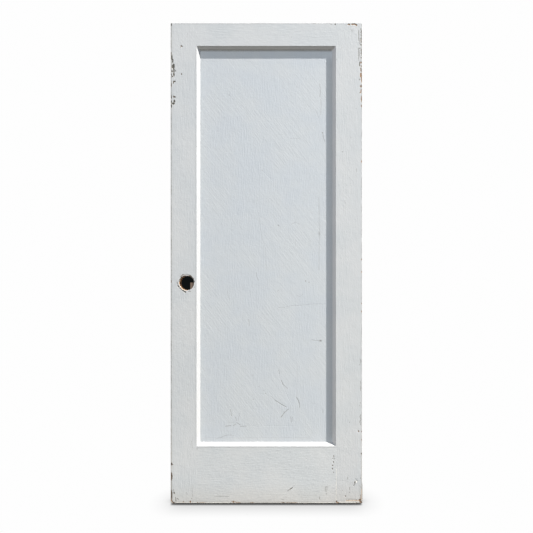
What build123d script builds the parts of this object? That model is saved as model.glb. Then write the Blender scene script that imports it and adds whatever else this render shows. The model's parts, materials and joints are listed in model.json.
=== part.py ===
"""Interior door leaf: two stiles, two rails and one flat panel, with a lock bore and hinge gains."""
import os

from build123d import *

# Leaf
door_width = 810.0
door_height = 2032.0
door_thickness = 35.0
arris_radius = 1.5
top_corner_radius = 2.5
worn_lock_foot_radius = 9.0
worn_hinge_foot_radius = 6.0

# Foot of the hinge edge, swollen by damp
swelling = 2.0
swollen_height = 75.0
swelling_taper = 30.0

# Stiles and rails: width of the flat face, from the outer edge to the bevel round the panel
lock_stile_face = 110.0
hinge_stile_face = 111.0
top_rail_face = 97.0
bottom_rail_face = 241.0

# Bevel run on the inner edges, and the groove behind it that holds the panel
bevel_width = 13.0
groove_depth = 12.7
groove_fit = 0.1
stub_tenon_play = 1.0

# Panel
panel_thickness = 9.5
panel_play = 2.0

# Lock bore, latch bore and the shallow mortise of the latch's face plate
lock_bore_diameter = 62.0
lock_bore_rim = 0.8
lock_backset = 67.5
lock_height = 931.0
latch_bore_diameter = 25.4
face_plate_height = 57.0
face_plate_width = 25.4
face_plate_depth = 3.0
face_plate_screw_spacing = 41.0

# Hinge gains, open to the back face, with the pilot holes that the screws left
hinge_height = 89.0
hinge_gain_depth = 2.4
hinge_gain_margin = 6.0
lower_hinge_above_bottom = 279.0
upper_hinge_below_top = 161.0
hinge_screw_spacing = 32.0
hinge_screw_stagger = 12.0
pilot_diameter = 3.2
pilot_depth = 22.0

# Dowels that hold the rails to the stiles
dowel_diameter = 12.7
dowel_length = 127.0
dowel_fit = 0.1
dowel_end_play = 2.0
dowel_edge_margin = 28.0
top_dowel_count = 2
bottom_dowel_count = 3

# The origin is the middle of the lower hinge gain's floor: +X points out of the hinge edge,
# +Y to the back face and +Z up
hinge_edge_x = hinge_gain_depth
lock_edge_x = hinge_edge_x - door_width
gain_width = door_thickness - hinge_gain_margin
back_y = gain_width / 2
front_y = back_y - door_thickness
middle_y = (front_y + back_y) / 2
bottom_z = -(lower_hinge_above_bottom + hinge_height / 2)
top_z = bottom_z + door_height
upper_hinge_z = top_z - upper_hinge_below_top - hinge_height / 2

# Lines that the pieces share
lock_joint_x = lock_edge_x + lock_stile_face
hinge_joint_x = hinge_edge_x - hinge_stile_face
lock_bore_x = lock_edge_x + lock_backset
lock_bore_z = bottom_z + lock_height
groove_width = panel_thickness + 2 * groove_fit
dowel_radius = dowel_diameter / 2

os.makedirs("parts", exist_ok=True)


def framing_section(face, groove):
    """Outline of a stile or rail, from its outer edge at u = 0 to its grooved, bevelled edge."""
    half = door_thickness / 2
    slot = groove_width / 2
    lip = face + bevel_width
    floor = lip - groove
    return [
        (0, -half),
        (face, -half),
        (lip, -slot),
        (floor, -slot),
        (floor, slot),
        (lip, slot),
        (face, half),
        (0, half),
    ]


def row_of_heights(low, high, count):
    """Even heights between two rail edges, kept clear of both by the dowel margin."""
    first = low + dowel_edge_margin
    step = (high - low - 2 * dowel_edge_margin) / (count - 1)
    return [first + step * index for index in range(count)]


def joint_plane(x):
    """Plane across a rail joint, with its own x along the leaf's thickness and its y up."""
    return Plane(origin=(x, middle_y, 0), x_dir=(0, 1, 0), z_dir=(1, 0, 0))


def corner_edges(piece, x):
    """Edges across the leaf's thickness at the outer edge x, from the lowest to the highest."""
    edges = piece.edges().filter_by(Axis.Y).filter_by_position(Axis.X, x, x)
    return edges.sort_by(Axis.Z)


def face_arrises(piece, joint_x):
    """Edges round the front and back faces of a stile, all but the ones on its joint line."""
    faces = piece.faces().filter_by(Axis.Y).group_by(Axis.Y)
    edges = faces[0].edges() + faces[-1].edges()
    return edges.filter_by(lambda edge: abs(edge.center().X - joint_x) > arris_radius)


top_dowel_heights = row_of_heights(top_z - top_rail_face, top_z, top_dowel_count)
bottom_dowel_heights = row_of_heights(bottom_z, bottom_z + bottom_rail_face, bottom_dowel_count)
dowel_reach = dowel_length / 2 + dowel_end_play
dowel_hole_radius = dowel_radius + dowel_fit

lock_stile_plane = Plane(origin=(lock_edge_x, middle_y, bottom_z), x_dir=(1, 0, 0), z_dir=(0, 0, 1))
hinge_stile_plane = Plane(origin=(hinge_edge_x, middle_y, bottom_z), x_dir=(-1, 0, 0), z_dir=(0, 0, 1))
bottom_rail_plane = Plane(origin=(lock_joint_x, middle_y, bottom_z), x_dir=(0, 0, 1), z_dir=(1, 0, 0))
top_rail_plane = Plane(origin=(lock_joint_x, middle_y, top_z), x_dir=(0, 0, -1), z_dir=(1, 0, 0))
lock_edge_plane = Plane(origin=(lock_edge_x, middle_y, lock_bore_z), x_dir=(0, 1, 0), z_dir=(1, 0, 0))
hinge_edge_plane = Plane(origin=(hinge_edge_x, 0, 0), x_dir=(0, 1, 0), z_dir=(1, 0, 0))
swelling_plane = Plane(origin=(hinge_edge_x, back_y, bottom_z), x_dir=(1, 0, 0), z_dir=(0, -1, 0))

# Lock stile, on the left of the front face, with the round bore for the lock
with BuildPart() as lock_stile:
    with BuildSketch(lock_stile_plane):
        with BuildLine():
            Polyline(*framing_section(lock_stile_face, groove_depth), close=True)
        make_face()
    extrude(amount=door_height)
    fillet(corner_edges(lock_stile, lock_edge_x)[0], worn_lock_foot_radius)
    fillet(corner_edges(lock_stile, lock_edge_x)[-1], top_corner_radius)
    fillet(face_arrises(lock_stile, lock_joint_x), arris_radius)
    with BuildSketch(joint_plane(lock_joint_x)):
        with Locations(*[(0, z) for z in top_dowel_heights + bottom_dowel_heights]):
            Circle(dowel_hole_radius)
    extrude(amount=dowel_reach, both=True, mode=Mode.SUBTRACT)
    with BuildSketch(Plane(origin=(lock_bore_x, front_y, lock_bore_z), x_dir=(1, 0, 0), z_dir=(0, 1, 0))):
        Circle(lock_bore_diameter / 2)
    extrude(amount=door_thickness, mode=Mode.SUBTRACT)
    bore_rims = lock_stile.edges(Select.LAST).filter_by(GeomType.CIRCLE)
    chamfer(bore_rims, lock_bore_rim)
    with BuildSketch(lock_edge_plane):
        Rectangle(face_plate_width, face_plate_height)
    extrude(amount=face_plate_depth, mode=Mode.SUBTRACT)
    with BuildSketch(lock_edge_plane):
        Circle(latch_bore_diameter / 2)
    extrude(amount=lock_backset, mode=Mode.SUBTRACT)
    with BuildSketch(lock_edge_plane):
        with GridLocations(0, face_plate_screw_spacing, 1, 2):
            Circle(pilot_diameter / 2)
    extrude(amount=face_plate_depth + pilot_depth, mode=Mode.SUBTRACT)
lock_stile.part.label = "lock_stile"
export_step(lock_stile.part, "parts/lock_stile.step")

# Hinge stile, on the right of the front face, gained for two hinges
with BuildPart() as hinge_stile:
    with BuildSketch(hinge_stile_plane):
        with BuildLine():
            Polyline(*framing_section(hinge_stile_face, groove_depth), close=True)
        make_face()
    extrude(amount=door_height)
    with BuildSketch(swelling_plane):
        with BuildLine():
            Polyline(
                (0, 0),
                (swelling, 0),
                (swelling, swollen_height),
                (0, swollen_height + swelling_taper),
                close=True,
            )
        make_face()
    extrude(amount=door_thickness)
    fillet(corner_edges(hinge_stile, hinge_edge_x + swelling)[0], worn_hinge_foot_radius)
    fillet(corner_edges(hinge_stile, hinge_edge_x)[-1], top_corner_radius)
    fillet(face_arrises(hinge_stile, hinge_joint_x), arris_radius)
    with BuildSketch(joint_plane(hinge_joint_x)):
        with Locations(*[(0, z) for z in top_dowel_heights + bottom_dowel_heights]):
            Circle(dowel_hole_radius)
    extrude(amount=dowel_reach, both=True, mode=Mode.SUBTRACT)
    with BuildSketch(hinge_edge_plane):
        with Locations((0, 0), (0, upper_hinge_z)):
            Rectangle(gain_width, hinge_height)
    extrude(amount=-hinge_gain_depth, mode=Mode.SUBTRACT)
    with BuildSketch(hinge_edge_plane):
        with Locations((0, 0), (0, upper_hinge_z)):
            with Locations(
                (hinge_screw_stagger / 2, hinge_screw_spacing),
                (-hinge_screw_stagger / 2, 0),
                (hinge_screw_stagger / 2, -hinge_screw_spacing),
            ):
                Circle(pilot_diameter / 2)
    extrude(amount=-(hinge_gain_depth + pilot_depth), mode=Mode.SUBTRACT)
hinge_stile.part.label = "hinge_stile"
export_step(hinge_stile.part, "parts/hinge_stile.step")

# Top rail, coped over the bevels of both stiles, with a stub tenon in each groove
with BuildPart() as top_rail:
    with BuildSketch(top_rail_plane):
        with BuildLine():
            Polyline(*framing_section(top_rail_face, groove_depth), close=True)
        make_face()
    extrude(amount=hinge_joint_x - lock_joint_x)
    fillet(top_rail.faces().sort_by(Axis.Z)[-1].edges().filter_by(Axis.X), arris_radius)
    with BuildSketch(lock_stile_plane):
        with BuildLine():
            Polyline(*framing_section(lock_stile_face, groove_depth - stub_tenon_play), close=True)
        make_face()
    extrude(amount=door_height, mode=Mode.SUBTRACT)
    with BuildSketch(hinge_stile_plane):
        with BuildLine():
            Polyline(*framing_section(hinge_stile_face, groove_depth - stub_tenon_play), close=True)
        make_face()
    extrude(amount=door_height, mode=Mode.SUBTRACT)
    for joint_x in (lock_joint_x, hinge_joint_x):
        with BuildSketch(joint_plane(joint_x)):
            with Locations(*[(0, z) for z in top_dowel_heights]):
                Circle(dowel_hole_radius)
        extrude(amount=dowel_reach, both=True, mode=Mode.SUBTRACT)
top_rail.part.label = "top_rail"
export_step(top_rail.part, "parts/top_rail.step")

# Bottom rail, the wide one, made like the top rail
with BuildPart() as bottom_rail:
    with BuildSketch(bottom_rail_plane):
        with BuildLine():
            Polyline(*framing_section(bottom_rail_face, groove_depth), close=True)
        make_face()
    extrude(amount=hinge_joint_x - lock_joint_x)
    fillet(bottom_rail.faces().sort_by(Axis.Z)[0].edges().filter_by(Axis.X), arris_radius)
    with BuildSketch(lock_stile_plane):
        with BuildLine():
            Polyline(*framing_section(lock_stile_face, groove_depth - stub_tenon_play), close=True)
        make_face()
    extrude(amount=door_height, mode=Mode.SUBTRACT)
    with BuildSketch(hinge_stile_plane):
        with BuildLine():
            Polyline(*framing_section(hinge_stile_face, groove_depth - stub_tenon_play), close=True)
        make_face()
    extrude(amount=door_height, mode=Mode.SUBTRACT)
    for joint_x in (lock_joint_x, hinge_joint_x):
        with BuildSketch(joint_plane(joint_x)):
            with Locations(*[(0, z) for z in bottom_dowel_heights]):
                Circle(dowel_hole_radius)
        extrude(amount=dowel_reach, both=True, mode=Mode.SUBTRACT)
bottom_rail.part.label = "bottom_rail"
export_step(bottom_rail.part, "parts/bottom_rail.step")

# Panel, loose in the grooves so that it can swell
panel_left = lock_joint_x + bevel_width - groove_depth + panel_play
panel_right = hinge_joint_x - bevel_width + groove_depth - panel_play
panel_low = bottom_z + bottom_rail_face + bevel_width - groove_depth + panel_play
panel_high = top_z - top_rail_face - bevel_width + groove_depth - panel_play
panel_plane = Plane(
    origin=((panel_left + panel_right) / 2, middle_y, (panel_low + panel_high) / 2),
    x_dir=(1, 0, 0),
    z_dir=(0, -1, 0),
)
with BuildPart() as panel:
    with BuildSketch(panel_plane):
        Rectangle(panel_right - panel_left, panel_high - panel_low)
    extrude(amount=panel_thickness / 2, both=True)
panel.part.label = "panel"
export_step(panel.part, "parts/panel.step")

# Dowels, half in the stile and half in the rail
joints = {
    "top_lock": (lock_joint_x, top_dowel_heights),
    "top_hinge": (hinge_joint_x, top_dowel_heights),
    "bottom_lock": (lock_joint_x, bottom_dowel_heights),
    "bottom_hinge": (hinge_joint_x, bottom_dowel_heights),
}
for joint, (joint_x, heights) in joints.items():
    for number, height in enumerate(heights, start=1):
        with BuildPart() as dowel:
            with BuildSketch(joint_plane(joint_x)):
                with Locations((0, height)):
                    Circle(dowel_radius)
            extrude(amount=dowel_length / 2, both=True)
        dowel.part.label = f"dowel_{joint}_{number}"
        export_step(dowel.part, f"parts/dowel_{joint}_{number}.step")
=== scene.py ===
"""Looks of the worn, white-painted interior door leaf: its boards, paint, damage, light and camera."""

import json
import math
import random
from collections import namedtuple

import bmesh
import bpy
import numpy as np
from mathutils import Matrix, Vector, noise


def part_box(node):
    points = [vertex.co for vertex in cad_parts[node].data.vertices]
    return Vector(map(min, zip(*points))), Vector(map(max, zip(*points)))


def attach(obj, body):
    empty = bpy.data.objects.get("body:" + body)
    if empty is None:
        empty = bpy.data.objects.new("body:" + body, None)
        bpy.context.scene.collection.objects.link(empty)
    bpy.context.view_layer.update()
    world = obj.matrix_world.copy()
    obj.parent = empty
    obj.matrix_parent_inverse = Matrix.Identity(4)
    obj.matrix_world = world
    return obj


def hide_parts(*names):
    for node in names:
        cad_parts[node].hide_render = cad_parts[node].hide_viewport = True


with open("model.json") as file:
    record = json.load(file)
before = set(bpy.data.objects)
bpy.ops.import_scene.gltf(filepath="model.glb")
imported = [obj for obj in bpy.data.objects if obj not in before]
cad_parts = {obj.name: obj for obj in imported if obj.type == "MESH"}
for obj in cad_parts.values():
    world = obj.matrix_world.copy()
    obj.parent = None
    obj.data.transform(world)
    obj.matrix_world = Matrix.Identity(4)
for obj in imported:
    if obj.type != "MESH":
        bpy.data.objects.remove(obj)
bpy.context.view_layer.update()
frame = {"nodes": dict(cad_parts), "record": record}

MM = 0.001
ACROSS, THROUGH, UP = 0, 1, 2

# Measures of the leaf, read from the frame
lock_low, lock_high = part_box("lock_stile")
top_low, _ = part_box("top_rail")
bottom_low, bottom_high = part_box("bottom_rail")
panel_low, panel_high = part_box("panel")
front_y = lock_low.y
back_y = lock_high.y
middle_y = (front_y + back_y) / 2
leaf_thickness = back_y - front_y
foot_z = lock_low.z
head_z = lock_high.z
lock_edge_x = lock_low.x
lock_joint_x = bottom_low.x
hinge_joint_x = bottom_high.x
bevel_width = lock_high.x - lock_joint_x
panel_depth = panel_low.y - front_y
MOUNTS = {mount["name"]: mount for mount in frame["record"]["mounts"]}
GAIN_DEPTH = 2.4 * MM
hinge_edge_x = MOUNTS["lower_hinge_gain"]["pos_m"][ACROSS] + GAIN_DEPTH
lock_bore_x = MOUNTS["lock_bore"]["pos_m"][ACROSS]
lock_bore_z = MOUNTS["lock_bore"]["pos_m"][UP]
lock_bore_radius = MOUNTS["lock_bore"]["dims"]["r_mm"] * MM
gain_heights = [MOUNTS[name]["pos_m"][UP] for name in ("lower_hinge_gain", "upper_hinge_gain")]

# The photograph: its width, the leaf's left edge and foot in it, and its scale on the leaf's front
PHOTO_SIDE = 533
LEAF_LEFT_PX = 170.65
LEAF_FOOT_PX = 503.2
PIXEL = 4.2316 * MM
CAMERA_DISTANCE = 1.7
CAMERA_RIGHT_OF_MIDDLE = 0.10
CAMERA_HEIGHT = 1.05
SENSOR_WIDTH = 36.0

picture_width = PHOTO_SIDE * PIXEL
picture_x = lock_edge_x + (PHOTO_SIDE / 2 - LEAF_LEFT_PX) * PIXEL
picture_z = foot_z + (LEAF_FOOT_PX - PHOTO_SIDE / 2) * PIXEL
camera_x = picture_x + CAMERA_RIGHT_OF_MIDDLE
camera_z = foot_z + CAMERA_HEIGHT


def seen(px, py, depth=0.0):
    """Point on the leaf's front, or on a plane that far behind it, at a pixel of the photograph."""
    x = lock_edge_x + (px - LEAF_LEFT_PX) * PIXEL
    z = foot_z + (LEAF_FOOT_PX - py) * PIXEL
    reach = (CAMERA_DISTANCE + depth) / CAMERA_DISTANCE
    return Vector((camera_x + (x - camera_x) * reach, front_y + depth, camera_z + (z - camera_z) * reach))


def add_object(name, data):
    added = bpy.data.objects.new(name, data)
    bpy.context.scene.collection.objects.link(added)
    return added


def place_camera():
    """Camera square to the leaf. The shift frames it as the photograph does."""
    data = bpy.data.cameras.new("camera")
    data.sensor_width = SENSOR_WIDTH
    data.lens = SENSOR_WIDTH * CAMERA_DISTANCE / picture_width
    data.shift_x = (picture_x - camera_x) / picture_width
    data.shift_y = (picture_z - camera_z) / picture_width
    camera = add_object("camera", data)
    camera.location = (camera_x, front_y - CAMERA_DISTANCE, camera_z)
    camera.rotation_euler = (math.radians(90), 0, 0)
    bpy.context.scene.camera = camera


class Nodes:
    """The nodes of one material or of the world, joined as they are added."""

    def __init__(self, owner):
        owner.use_nodes = True
        self.tree = owner.node_tree
        self.tree.nodes.clear()

    def add(self, kind, inputs=None, **settings):
        node = self.tree.nodes.new("ShaderNode" + kind)
        for name, value in settings.items():
            setattr(node, name, value)
        for name, value in (inputs or {}).items():
            self.join(value, node.inputs[name])
        return node

    def join(self, value, socket):
        if isinstance(value, bpy.types.NodeSocket):
            self.tree.links.new(value, socket)
        elif isinstance(value, tuple) and len(value) == 3 and len(socket.default_value) == 4:
            socket.default_value = (*value, 1.0)
        else:
            socket.default_value = value

    def math(self, operation, first, second, third=0.0):
        return self.add("Math", {0: first, 1: second, 2: third}, operation=operation).outputs[0]

    def times(self, value, *factors):
        for factor in factors:
            value = self.math("MULTIPLY", value, factor)
        return value

    def span(self, value, low, high, to_low=0.0, to_high=1.0):
        """A value eased from one range to another, and held at its ends."""
        inputs = {"Value": value, "From Min": low, "From Max": high, "To Min": to_low, "To Max": to_high}
        return self.add("MapRange", inputs, interpolation_type="SMOOTHSTEP").outputs[0]

    def mix(self, factor, first, second, blend="MIX"):
        node = self.add("Mix", data_type="RGBA", blend_type=blend)
        self.join(factor, node.inputs[0])
        self.join(first, node.inputs[6])
        self.join(second, node.inputs[7])
        return node.outputs[2]

    def tint(self, factor, colour, shade):
        """A colour times a shade, as far as the factor says."""
        return self.mix(factor, colour, shade, "MULTIPLY")

    def scaled(self, vector, stretch, turn=(0.0, 0.0, 0.0)):
        return self.add("Mapping", {"Vector": vector, "Scale": stretch, "Rotation": turn}).outputs[0]

    def noise(self, vector, size, detail=3.0, roughness=0.5, distortion=0.0):
        """Noise from 0 to 1 whose lumps are about that many millimetres across."""
        inputs = {"Vector": vector, "Scale": 1 / (size * MM), "Detail": detail,
                  "Roughness": roughness, "Distortion": distortion}
        return self.add("TexNoise", inputs).outputs[0]

    def field(self, name):
        return self.add("Attribute", attribute_name=name).outputs["Fac"]

    def axes(self, place):
        return self.add("SeparateXYZ", {"Vector": place}).outputs

    def end_surface(self, colour, roughness, height, specular):
        """Ends a material whose relief is that high in millimetres."""
        bump = self.add("Bump", {"Height": height, "Distance": MM, "Strength": 1.0}).outputs[0]
        shader = self.add("BsdfPrincipled", {
            "Base Color": colour, "Roughness": roughness, "Normal": bump, "Specular IOR Level": specular})
        self.add("OutputMaterial", {"Surface": shader.outputs[0]})

    def end_mixed(self, factor, first, second, output="OutputMaterial"):
        """Ends a material or the world with a mix of two shaders."""
        mixed = self.add("MixShader", {0: factor, 1: first.outputs[0], 2: second.outputs[0]})
        self.add(output, {"Surface": mixed.outputs[0]})


def new_material(name):
    material = bpy.data.materials.new(name)
    return material, Nodes(material)


GRAIN_STRETCH = {UP: (1.0, 1.0, 0.05), ACROSS: (0.05, 1.0, 1.0)}
BRUSH_STRETCH = {UP: (1.0, 1.0, 0.09), ACROSS: (0.09, 1.0, 1.0)}
BRUSH_TILT = (0.0, math.radians(38), 0.0)
FRESH_WOOD = (0.66, 0.43, 0.25)
TAN_WOOD = (0.40, 0.235, 0.125)
DARK_WOOD = (0.16, 0.105, 0.07)
OLD_DIRT = (0.105, 0.100, 0.088)
OLD_ROSE_PAINT = (0.50, 0.40, 0.36)
CREAM_PAINT = (0.66, 0.60, 0.50)
UNDERCOAT = (0.88, 0.85, 0.79)
GRIME_AND_SHADE = (0.23, 0.22, 0.20)
TAN_DIRT = (0.30, 0.23, 0.16)


def wood_colour(nodes, place, along, tone):
    """Bare wood and its grain: undercoat at a tone of -1, fresh at 0, and black with dirt at 1."""
    grain_place = nodes.scaled(place, GRAIN_STRETCH[along])
    grain = nodes.noise(grain_place, 2.2, 5.0, 0.62, 0.6)
    bands = nodes.noise(grain_place, 9, 2.0, 0.5, 1.2)
    fresh = nodes.mix(nodes.span(grain, 0.3, 0.72), TAN_WOOD, FRESH_WOOD)
    fresh = nodes.mix(nodes.span(bands, 0.35, 0.75, 0.0, 0.45), fresh, TAN_WOOD)
    tan = nodes.mix(nodes.span(grain, 0.3, 0.7), DARK_WOOD, TAN_WOOD)
    dark = nodes.mix(nodes.span(grain, 0.3, 0.7), OLD_DIRT, DARK_WOOD)
    fresh = nodes.mix(nodes.span(tone, -1.0, 0.0), UNDERCOAT, fresh)
    low = nodes.mix(nodes.span(tone, 0.0, 0.35), fresh, tan)
    middle = nodes.mix(nodes.span(tone, 0.35, 0.7), low, dark)
    return nodes.mix(nodes.span(tone, 0.6, 0.92), middle, OLD_DIRT), grain


def raw_wood(name, along, tone=0.12):
    """Wood that was never painted: in the bores, the gains, the grooves and on the dowels."""
    material, nodes = new_material(name)
    place = nodes.add("TexCoord").outputs["Object"]
    patchy = nodes.noise(place, 14, 4.0, 0.6)
    colour, grain = wood_colour(nodes, place, along, nodes.span(patchy, 0.3, 0.75, tone * 0.3, tone * 2.6))
    nodes.end_surface(colour, nodes.span(grain, 0.2, 0.8, 0.92, 0.74), nodes.times(grain, 0.16), specular=0.3)
    return material


# Between which places each kind of wear and painted shade fades in
FROM_HINGE_EDGE = (hinge_edge_x, lock_edge_x)
HINGE_SIDE = (hinge_joint_x - 0.04, hinge_joint_x + 0.02)
WHOLE_HEIGHT = (head_z, foot_z)
LOWER_PART = (foot_z + 0.45, foot_z + 0.20)
LOWEST_PART = (foot_z + 0.14, foot_z + 0.05)
TAN_PART = (foot_z + 0.5, foot_z)
DAMP_PART = (foot_z + 0.10, foot_z)
SPLASHED_PART = (foot_z + 0.016, foot_z + 0.002)
UNDER_HEAD = (head_z - 0.007, head_z - 0.002)
OVER_FOOT = (foot_z + 0.003, foot_z + 0.009)
SPECK_SPACING = 0.021

# What the colour and the relief of paint are made from
Patterns = namedtuple("Patterns", "broad mottle lump strokes ragged fray specks")


def paint_patterns(nodes, place, along, tilted_share):
    straight_place = nodes.scaled(place, BRUSH_STRETCH[along])
    tilted_place = nodes.scaled(nodes.scaled(place, (1.0, 1.0, 1.0), BRUSH_TILT), BRUSH_STRETCH[along])
    broad = nodes.noise(place, 190, 3.0, 0.55)
    mottle = nodes.noise(place, 26, 4.0, 0.6)
    lump = nodes.noise(place, 8, 3.0, 0.65)
    straight = nodes.noise(straight_place, 4, 3.0, 0.6, 0.4)
    tilted = nodes.noise(tilted_place, 5, 2.0, 0.6, 0.4)
    where_tilted = nodes.times(nodes.span(broad, 0.42, 0.58), tilted_share)
    strokes = nodes.math("MULTIPLY_ADD", nodes.math("SUBTRACT", tilted, straight), where_tilted, straight)
    ragged = nodes.noise(place, 2.4, 4.0, 0.65)
    fray = nodes.times(nodes.math("SUBTRACT", ragged, 0.5), 2.2)
    cells = nodes.add("TexVoronoi", {"Vector": place, "Scale": 1 / SPECK_SPACING})
    dice = nodes.add("SeparateColor", {"Color": cells.outputs["Color"]}).outputs
    near = nodes.math("LESS_THAN", cells.outputs["Distance"], nodes.times(dice[1], 0.08))
    specks = nodes.times(near, nodes.math("GREATER_THAN", dice[0], 0.72))
    return Patterns(broad, mottle, lump, strokes, ragged, fray, specks)


def aged(nodes, axes, patterns, cool, neutral):
    """The colour of brushed paint, darker towards the lock edge, with painted shade low on the hinge side."""
    colour = nodes.mix(nodes.span(patterns.broad, 0.36, 0.64), cool, neutral)
    colour = nodes.tint(nodes.span(patterns.mottle, 0.25, 0.75), colour, (0.985, 0.987, 0.99))
    colour = nodes.tint(nodes.span(patterns.strokes, 0.3, 0.7, 0.5, 0.0), colour, (0.96, 0.96, 0.955))
    lower = nodes.span(axes[UP], *LOWER_PART)
    lowest = nodes.span(axes[UP], *LOWEST_PART)
    darker_towards_lock_edge = nodes.span(axes[ACROSS], *FROM_HINGE_EDGE)
    darker_towards_lock_edge = nodes.times(darker_towards_lock_edge, nodes.math("SUBTRACT", 1.0, nodes.times(lower, 0.3)))
    colour = nodes.tint(darker_towards_lock_edge, colour, (0.93, 0.93, 0.932))
    # Painted shade: darker low on the hinge side
    painted_foot_shade = nodes.times(nodes.math("ADD", lower, lowest), 0.5, nodes.span(axes[ACROSS], *HINGE_SIDE))
    colour = nodes.tint(painted_foot_shade, colour, (0.945, 0.94, 0.945))
    return nodes.tint(nodes.span(axes[UP], *WHOLE_HEIGHT), colour, (1.0, 0.99, 0.97))


def dirtied(nodes, axes, patterns, colour):
    """Dirt over paint: in specks, along the arrises, at the foot and where the marks say. Along the arrises,
    most towards the lock edge, the darkening is also painted shade, as it is in a few marks.
    """
    colour = nodes.mix(nodes.times(patterns.specks, 0.5), colour, GRIME_AND_SHADE)
    dirt = nodes.mix(nodes.span(axes[UP], *TAN_PART), GRIME_AND_SHADE, TAN_DIRT)
    rim = nodes.field("rim")
    ragged_rim = nodes.math("ADD", rim, nodes.times(patterns.fray, 1.2))
    # Painted shade with dirt: darker along the arrises, and more so towards the lock edge
    rim_dirt_and_shade = nodes.times(
        nodes.span(ragged_rim, 4.6, 2.4), nodes.span(patterns.mottle, 0.3, 0.7, 0.3, 0.85),
        nodes.span(axes[ACROSS], *FROM_HINGE_EDGE, 0.62, 1.25), nodes.span(axes[UP], *UNDER_HEAD, 1.0, 0.15),
        nodes.span(axes[UP], *OVER_FOOT, 0.15, 1.0))
    colour = nodes.mix(nodes.math("MINIMUM", rim_dirt_and_shade, 1.0), colour, dirt)
    side_dirt = nodes.times(
        nodes.span(rim, 13.0, 5.0), nodes.span(axes[ACROSS], *FROM_HINGE_EDGE, 0.02, 0.09))
    colour = nodes.mix(side_dirt, colour, GRIME_AND_SHADE)
    colour = nodes.tint(nodes.span(axes[UP], *DAMP_PART), colour, (0.97, 0.94, 0.905))
    uneven = nodes.times(nodes.math("SUBTRACT", patterns.mottle, 0.5), -0.012)
    splash = nodes.span(nodes.math("ADD", axes[UP], uneven), *SPLASHED_PART, 0.0, 0.2)
    colour = nodes.tint(splash, colour, (0.93, 0.87, 0.79))
    soil = nodes.times(nodes.field("soil"), nodes.span(patterns.ragged, 0.3, 0.6, 0.3, 1.1))
    return nodes.mix(nodes.math("MINIMUM", soil, 1.0), colour, GRIME_AND_SHADE)


def chipped(nodes, place, along, patterns, colour):
    """Older coats and bare wood where the paint is gone, and the shares of it that are gone and peeling."""
    bare = nodes.math("ADD", nodes.field("bare"), patterns.fray)
    gone = nodes.span(bare, -0.12, 0.12)
    peeling = nodes.times(nodes.span(bare, -0.95, -0.65), nodes.span(patterns.mottle, 0.4, 0.55))
    old = nodes.span(nodes.math("ADD", nodes.field("old"), patterns.fray), -0.2, 0.2)
    colour = nodes.mix(nodes.times(peeling, 0.32), colour, CREAM_PAINT)
    colour = nodes.mix(nodes.times(old, 0.7), colour, OLD_ROSE_PAINT)
    wood, _ = wood_colour(nodes, place, along, nodes.field("tone"))
    return nodes.mix(gone, colour, wood), gone, peeling


def paint(name, along, cool, neutral, tilted_share=0.0, lumps=1.0):
    """Old brushed gloss paint over wood, with dirt, scratches and chips where the mesh's fields say."""
    material, nodes = new_material(name)
    place = nodes.add("TexCoord").outputs["Object"]
    axes = nodes.axes(place)
    patterns = paint_patterns(nodes, place, along, tilted_share)
    colour = dirtied(nodes, axes, patterns, aged(nodes, axes, patterns, cool, neutral))
    colour, gone, peeling = chipped(nodes, place, along, patterns, colour)
    heights = [(patterns.strokes, 0.6 * lumps), (patterns.ragged, 0.04), (patterns.mottle, 0.45 * lumps),
               (gone, -0.28), (peeling, -0.08), (patterns.specks, -0.06)]
    height = nodes.times(patterns.lump, 0.3 * lumps)
    for pattern, depth in heights:
        height = nodes.math("ADD", height, nodes.times(pattern, depth))
    gloss = nodes.span(patterns.mottle, 0.25, 0.75, 0.36, 0.52)
    nodes.end_surface(colour, nodes.math("ADD", gloss, nodes.times(gone, 0.38)), height, specular=0.4)
    return material


# A mark runs from start to end with these radii. It dents the surface by relief. With a tone the wood
# shows in it, with old an older coat of paint does, and the value after the tone is how much dirt, and in
# a few marks painted shade, darkens the paint in it.
Mark = namedtuple("Mark", "start end radii relief tone soil old")
MARK_REACH = 3 * MM


def spot(px, py, half_width, half_height, relief=0.0, tone=None, soil=0.0, depth=0.0):
    """A mark at a pixel of the photograph, its half sizes in pixels and its relief in mm."""
    centre = seen(px, py, depth)
    radii = (half_width * PIXEL, MARK_REACH, half_height * PIXEL)
    return Mark(centre, centre, radii, relief * MM, tone, soil, False)


def line(points, half_width, relief=0.0, tone=None, soil=0.0, old=False, depth=0.0):
    """Marks along a line through pixels of the photograph. The half width is in mm."""
    width = half_width * MM
    places = [seen(px, py, depth) for px, py in points]
    radii = (width, MARK_REACH, width)
    return [Mark(a, b, radii, relief * MM, tone, soil, old) for a, b in zip(places, places[1:])]


def hidden(places, y=back_y):
    return [Vector((x, y, z)) for x, z in places]


def worn_arris(seed, start, end, count, longest):
    """Chips of random sizes along an arris of the back face, from start to end."""
    start, end = hidden((start, end))
    dice = random.Random(seed)
    run = (end - start).normalized()
    chips = []
    for _ in range(count):
        centre = start.lerp(end, dice.random())
        half_length = MM * longest * dice.random() ** 3
        radius = MM * dice.uniform(1.0, 2.8)
        tone = dice.choice((0.1, 0.3, 0.45, 0.6, 0.8))
        relief = MM * dice.uniform(0.2, 0.9)
        ends = (centre - run * half_length, centre + run * half_length)
        chips.append(Mark(*ends, (radius, radius, radius), relief, tone, 0.0, False))
    return chips


def scattered(seed, low, high, count, y=back_y):
    """Small knocks and dirty specks at random places of an upright face between two corners."""
    low, high = hidden((low, high), y)
    dice = random.Random(seed)
    marks = []
    for _ in range(count):
        centre = Vector([dice.uniform(*ends) for ends in zip(low, high)])
        drift = Vector((dice.gauss(0, 2.5), 0, dice.gauss(0, 5))) * MM * (dice.random() < 0.5)
        radius = MM * dice.uniform(0.7, 1.7)
        radii = (radius, MARK_REACH, radius)
        relief = MM * dice.uniform(0.1, 0.35)
        tone = 0.8 if dice.random() < 0.12 else None
        marks.append(Mark(centre, centre + drift, radii, relief, tone, dice.uniform(0.1, 0.6), False))
    return marks


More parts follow.
